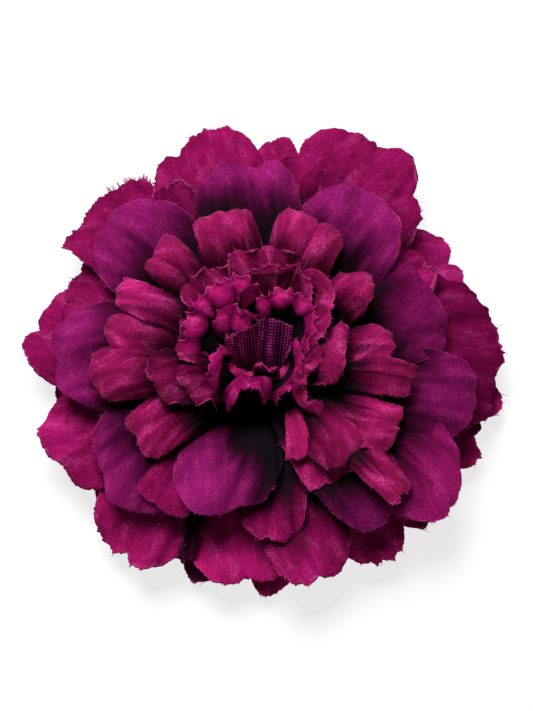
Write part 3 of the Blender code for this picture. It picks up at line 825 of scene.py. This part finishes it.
def add_strip(bm, layers, strip, grain):
    """Lay one frill, or one sheet of mesh, as a bent grid."""
    made = bmesh.ops.create_grid(
        bm, x_segments=strip["faces"], y_segments=strip["rows"], size=1.0)["verts"]
    point = mesh_point if "ribs" in strip else strip_point
    columns, values, flat = {}, {}, {}
    for vert in made:
        share, rise = (vert.co.x + 1) / 2, (vert.co.y + 1) / 2
        key = round(share, 5)
        if key not in columns:
            columns[key] = strip_column(strip, share)
        column = columns[key]
        # Dye and painted shade at the foot, and painted shade that darkens the wall lower down
        # and in the pinches between bubbles
        values[vert] = {
            "root_dye": smooth_step((strip["dye"] - rise) / strip["dye_soft"] + 0.5),
            "rim_line": 0.65 if rise > 0.999 else 0.0,
            "shade": strip["shade"] * (PAINTED_DEPTH_SHADE + (1.2 - PAINTED_DEPTH_SHADE) * rise ** 1.5) * (
                1.0 - CREVICE_PAINTED_SHADE * column["slim"]),
            "purple": strip["purple"],
        }
        tall = (column["rim"] - column["foot"]).length
        flat[vert] = Vector((share * strip["run"], rise * tall))
        vert.co = point(strip, column, share, rise) * MM
    lay_cloth(made, layers, values, flat, grain)


def add_collar(bm, layers, whorl):
    """Turn the ring of gathered, glued cloth that holds the roots."""
    low = NUB_HEIGHT + GAP + whorl["collar"] * COLLAR_PITCH
    high, radius = low + COLLAR_HEIGHT, whorl["radius"]
    profile = [(COLLAR_BORE, high), (radius, high), (radius, low), (COLLAR_BORE, low)]
    for vert in turn_profile(bm, profile, COLLAR_STEPS, True):
        vert[layers["root_dye"]] = 1.0
        vert[layers["shade"]] = 1.0


def turn_profile(bm, profile, steps, closed):
    """Spin a profile of (radius, height) points round Z. Gives the new vertices."""
    before = set(bm.verts)
    line = [bm.verts.new((r * MM, 0.0, z * MM)) for r, z in profile]
    pairs = list(zip(line, line[1:])) + ([(line[-1], line[0])] if closed else [])
    edges = [bm.edges.new(pair) for pair in pairs]
    bmesh.ops.spin(bm, geom=line + edges, cent=(0, 0, 0), axis=(0, 0, 1),
                   angle=2 * math.pi, steps=steps, use_merge=True)
    made = [vert for vert in bm.verts if vert not in before]
    bmesh.ops.remove_doubles(bm, verts=made, dist=1e-6)
    made = [vert for vert in bm.verts if vert not in before]
    faces = list({face for vert in made for face in vert.link_faces})
    bmesh.ops.recalc_face_normals(bm, faces=faces)
    return made


def finish_piece(name, bm, material, node_name, wall=0.0):
    """Make a piece of a mesh, smooth, with its wall, in place of its CAD node."""
    mesh = bpy.data.meshes.new(name)
    bm.to_mesh(mesh)
    bm.free()
    mesh.materials.append(material)
    mesh.shade_smooth()
    piece = bpy.data.objects.new(name, mesh)
    bpy.context.scene.collection.objects.link(piece)
    if wall:
        thick = piece.modifiers.new("cloth", "SOLIDIFY")
        thick.thickness = wall * MM
        thick.offset = 0.0
        # The broad faces light the rims, so that a cut edge has no dark line
        rims = piece.modifiers.new("rims", "WEIGHTED_NORMAL")
        rims.weight = 100
    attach(piece, "root")
    if node_name:
        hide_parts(node_name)
    return piece


def make_whorl(node_name, whorl, material, threads, name=None):
    """One whorl: its collar, and its petals or frills, in thin cloth."""
    rng = random.Random(name or node_name)
    bm = bmesh.new()
    layers = cloth_layers(bm)
    for index, row in enumerate(whorl.get("petals", [])):
        petal = full_petal(whorl, row, seed=whorl["collar"] * 31.7 + index * 3.1)
        add_petal(bm, layers, petal, rng.uniform(-0.5, 0.5))
        add_threads(threads, petal_rim(petal), rng)
    for index, row in enumerate(whorl.get("strips", [])):
        strip = full_strip(whorl, row, seed=index * 3.1 + 0.4)
        add_strip(bm, layers, strip, 0.0)
        if "ribs" not in strip:
            add_threads(threads, strip_rim(strip), rng)
    if node_name:
        add_collar(bm, layers, whorl)
    finish_piece(name or f"{node_name}_cloth", bm, material, node_name, CLOTH)


def thread_length(rng):
    """A thread's length: most are short and a few are long."""
    pick = rng.random()
    for share, low, high in THREAD_LENGTHS:
        if pick < share:
            return rng.uniform(low, high)
        pick -= share
    return THREAD_LENGTHS[0][1]


def rim_places():
    """Grid points round the tip, from low on one side to low on the other."""
    full = 2 + 2 * (1 + RIM_LOW)
    for index in range(THREAD_PLACES):
        run = full * index / (THREAD_PLACES - 1) - RIM_LOW
        if run < 1.0:
            yield -1.0, run
        elif run < 3.0:
            yield run - 2.0, 1.0
        else:
            yield 1.0, 1.0 - (run - 3.0)


def petal_rim(petal):
    """Places on a petal's rim: the edge, a point within it, one beside that, and
    whether the threads there are combed into a row."""
    low, high = petal["fringe"] or (0.0, 0.0)
    for a, b in rim_places():
        spot = outline(petal, a, b)
        inner = petal_point(petal, outline(petal, a * 0.94, b * 0.94 if b > 0 else b))
        beside = petal_point(petal, outline(petal, a * 0.9, b * 0.97))
        yield petal_point(petal, spot), inner, beside, low < math.degrees(spot[3]) < high


def strip_rim(strip):
    """The same for a frill."""
    for index in range(THREAD_PLACES):
        share = index / THREAD_PLACES
        column, beyond = strip_column(strip, share), strip_column(strip, share + 0.007)
        yield (strip_point(strip, column, share, 1.0), strip_point(strip, column, share, 0.96),
               strip_point(strip, beyond, share + 0.007, 0.96), False)


def add_threads(threads, rim, rng):
    """Frayed threads that stand out of a rim."""
    bm = bmesh.new()
    for edge, inner, beside, combed in rim:
        if not combed and rng.random() > THREAD_SHARE:
            continue
        way = (edge - inner).normalized()
        spread = 0.0 if combed else math.radians(
            rng.uniform(-THREAD_SPREAD, THREAD_SPREAD))
        way = Matrix.Rotation(spread, 3, way.cross(beside - inner).normalized()) @ way
        length = FRINGE_LENGTH if combed else thread_length(rng)
        turn = way.to_track_quat("Z", "Y").to_matrix().to_4x4()
        centre = (edge + way * (length / 2 - 0.12)) * MM
        stout = THREAD_RADIUS * (FRINGE_STOUTNESS if combed else 1.0)
        bmesh.ops.create_cone(
            bm, cap_ends=True, segments=3, radius1=stout * MM,
            radius2=stout * 0.5 * MM, depth=length * MM,
            matrix=Matrix.Translation(centre) @ turn)
    batch = bpy.data.meshes.new("threads")
    bm.to_mesh(batch)
    bm.free()
    threads.from_mesh(batch)
    bpy.data.meshes.remove(batch)


def make_calyx(material):
    """The ribbed plastic nub under the petals, and its peg."""
    profile = [
        (0.0, PEG_TOP), (PEG_RADIUS * 0.7, PEG_TOP), (PEG_RADIUS, PEG_TOP - 0.6),
        (PEG_RADIUS, NUB_HEIGHT), (NUB_RADIUS - NUB_ROUNDING, NUB_HEIGHT),
        (NUB_RADIUS, NUB_HEIGHT - NUB_ROUNDING),
        (NUB_RADIUS - NUB_ROUNDING, NUB_HEIGHT / 2),
        (NUB_FOOT_RADIUS + NUB_ROUNDING, NUB_ROUNDING), (NUB_FOOT_RADIUS, 0.0), (0.0, 0.0),
    ]
    bm = bmesh.new()
    for vert in turn_profile(bm, profile, PEG_STEPS, False):
        radius = math.hypot(vert.co.x, vert.co.y) / MM
        if radius > NUB_FOOT_RADIUS + 0.01:
            angle = math.atan2(vert.co.y, vert.co.x)
            scale = 1.0 - NUB_RIB_DEPTH / radius * (1 - math.cos(NUB_RIBS * angle)) / 2
            vert.co.x *= scale
            vert.co.y *= scale
    piece = finish_piece("calyx_nub", bm, material, "calyx")
    piece.data.set_sharp_from_angle(angle=math.radians(NUB_SHARP))


# Camera and studio
CAMERA_ELEVATION = 72   # the photograph looks along the flower's axis, 18 degrees off
CAMERA_DISTANCE = 0.5   # metres, as are the places below
CAMERA_AIM = Vector((0.001, 0.0025, 0.015))
FOCAL_LENGTH = 120      # millimetres, on a sensor 36 mm high
SENSOR_HEIGHT = 36
FLOOR_SIZE = 3.0
LIGHTS = (              # name, place, size, and power in watts
    ("key", Vector((-0.09, 0.20, 0.61)), 0.3, 5.4),     # nearly over the flower
    ("top", Vector((-0.05, 0.60, 0.34)), 0.6, 0.8),     # low, from the top of the picture
    ("fill", Vector((-0.10, -0.45, 0.45)), 0.4, 0.32),
)
WORLD_STRENGTH = 0.003


def make_camera():
    """The camera, at the angle from which the photograph sees the flower."""
    tilt = math.radians(CAMERA_ELEVATION)
    camera = bpy.data.objects.new("camera", bpy.data.cameras.new("camera"))
    camera.location = CAMERA_AIM + CAMERA_DISTANCE * Vector((0, -math.cos(tilt), math.sin(tilt)))
    camera.rotation_euler = (math.pi / 2 - tilt, 0, 0)
    camera.data.lens = FOCAL_LENGTH
    camera.data.sensor_fit = "VERTICAL"
    camera.data.sensor_height = SENSOR_HEIGHT
    bpy.context.scene.collection.objects.link(camera)
    bpy.context.scene.camera = camera


def make_light(name, place, size, power):
    """A square soft light that faces the flower."""
    data = bpy.data.lights.new(name, "AREA")
    data.size = size
    data.energy = power
    light = bpy.data.objects.new(name, data)
    light.location = place
    light.rotation_euler = (-place).to_track_quat("-Z", "Y").to_euler()
    bpy.context.scene.collection.objects.link(light)


def make_floor():
    """A plain white sweep, lit from within so that shadows on it stay pale."""
    material, tree, shader = new_material(
        "white sweep", base_color=(0.25, 0.243, 0.246, 1), roughness=0.9,
        specular_ior_level=0.1, emission_color=(1, 1, 1, 1), emission_strength=0.77)
    bm = bmesh.new()
    bmesh.ops.create_grid(bm, x_segments=1, y_segments=1, size=FLOOR_SIZE / 2)
    mesh = bpy.data.meshes.new("floor")
    bm.to_mesh(mesh)
    bm.free()
    mesh.materials.append(material)
    floor = bpy.data.objects.new("floor", mesh)
    bpy.context.scene.collection.objects.link(floor)


def make_studio():
    """Plain soft studio light over a pale floor."""
    make_floor()
    for values in LIGHTS:
        make_light(*values)
    world = bpy.data.worlds.new("studio")
    world.use_nodes = True
    background = world.node_tree.nodes["Background"]
    background.inputs["Color"].default_value = (1, 1, 1, 1)
    background.inputs["Strength"].default_value = WORLD_STRENGTH
    bpy.context.scene.world = world
    bpy.context.scene.view_settings.view_transform = "Standard"


def main():
    outer = petal_cloth("dyed polyester petal cloth", "#86104e", "#6c134c", "#c04488",
                        weave_tones=(0.8, 1.2), painted_sheen=0.45, gloss=0.0)
    purple = petal_cloth("fine purple polyester petal cloth", "#86104e", "#6c114b",
                         "#c4468c", weave_tones=(0.95, 1.05), painted_sheen=0.2, gloss=0.0,
                         bump=0.3)
    spoon = petal_cloth("pressed polyester spoon cloth", "#88144c", "#6b0c4b", "#cc4690")
    # The frills' cloth is lighter than the petals': its own colour, with painted light on the
    # crests of the bubbles
    frills = petal_cloth("pinked polyester frill cloth", "#b0186a", "#6b0c4b", "#d04a94",
                         weave_tones=(0.84, 1.16))
    # Its wide stitch tones are painted highlight on the stitches and painted shade in the holes
    mesh = petal_cloth("coarse polyester mesh", "#821054", "#5c2258", "#9a3272",
                       pattern=open_mesh, pitch=MESH_PITCH, weave_tones=(0.1, 1.6),
                       painted_sheen=0.6, gloss=0.2, bump=0.8)
    threads = bmesh.new()
    make_whorl("outer_whorl_low", LOW_OUTER, outer, threads)
    make_whorl("outer_whorl", OUTER, outer, threads)
    make_whorl("middle_whorl", MIDDLE, purple, threads)
    make_whorl("spoon_whorl", SPOON, spoon, threads)
    make_whorl("ruffle_outer", RUFFLE, spoon, threads)
    make_whorl(None, RUFFLE_STRIPS, spoon, threads, "ruffle_strips")
    make_whorl("ruffle_inner", FRILL, frills, threads)
    make_whorl("centre_tuft", TUFT, mesh, threads)
    make_whorl(None, LIPS, spoon, threads, "centre_lips")
    finish_piece("frayed_threads", threads, thread_polyester("frayed thread", "#cf4490"),
                 None)
    make_calyx(calyx_plastic("moulded calyx plastic"))
    make_camera()
    make_studio()


main()
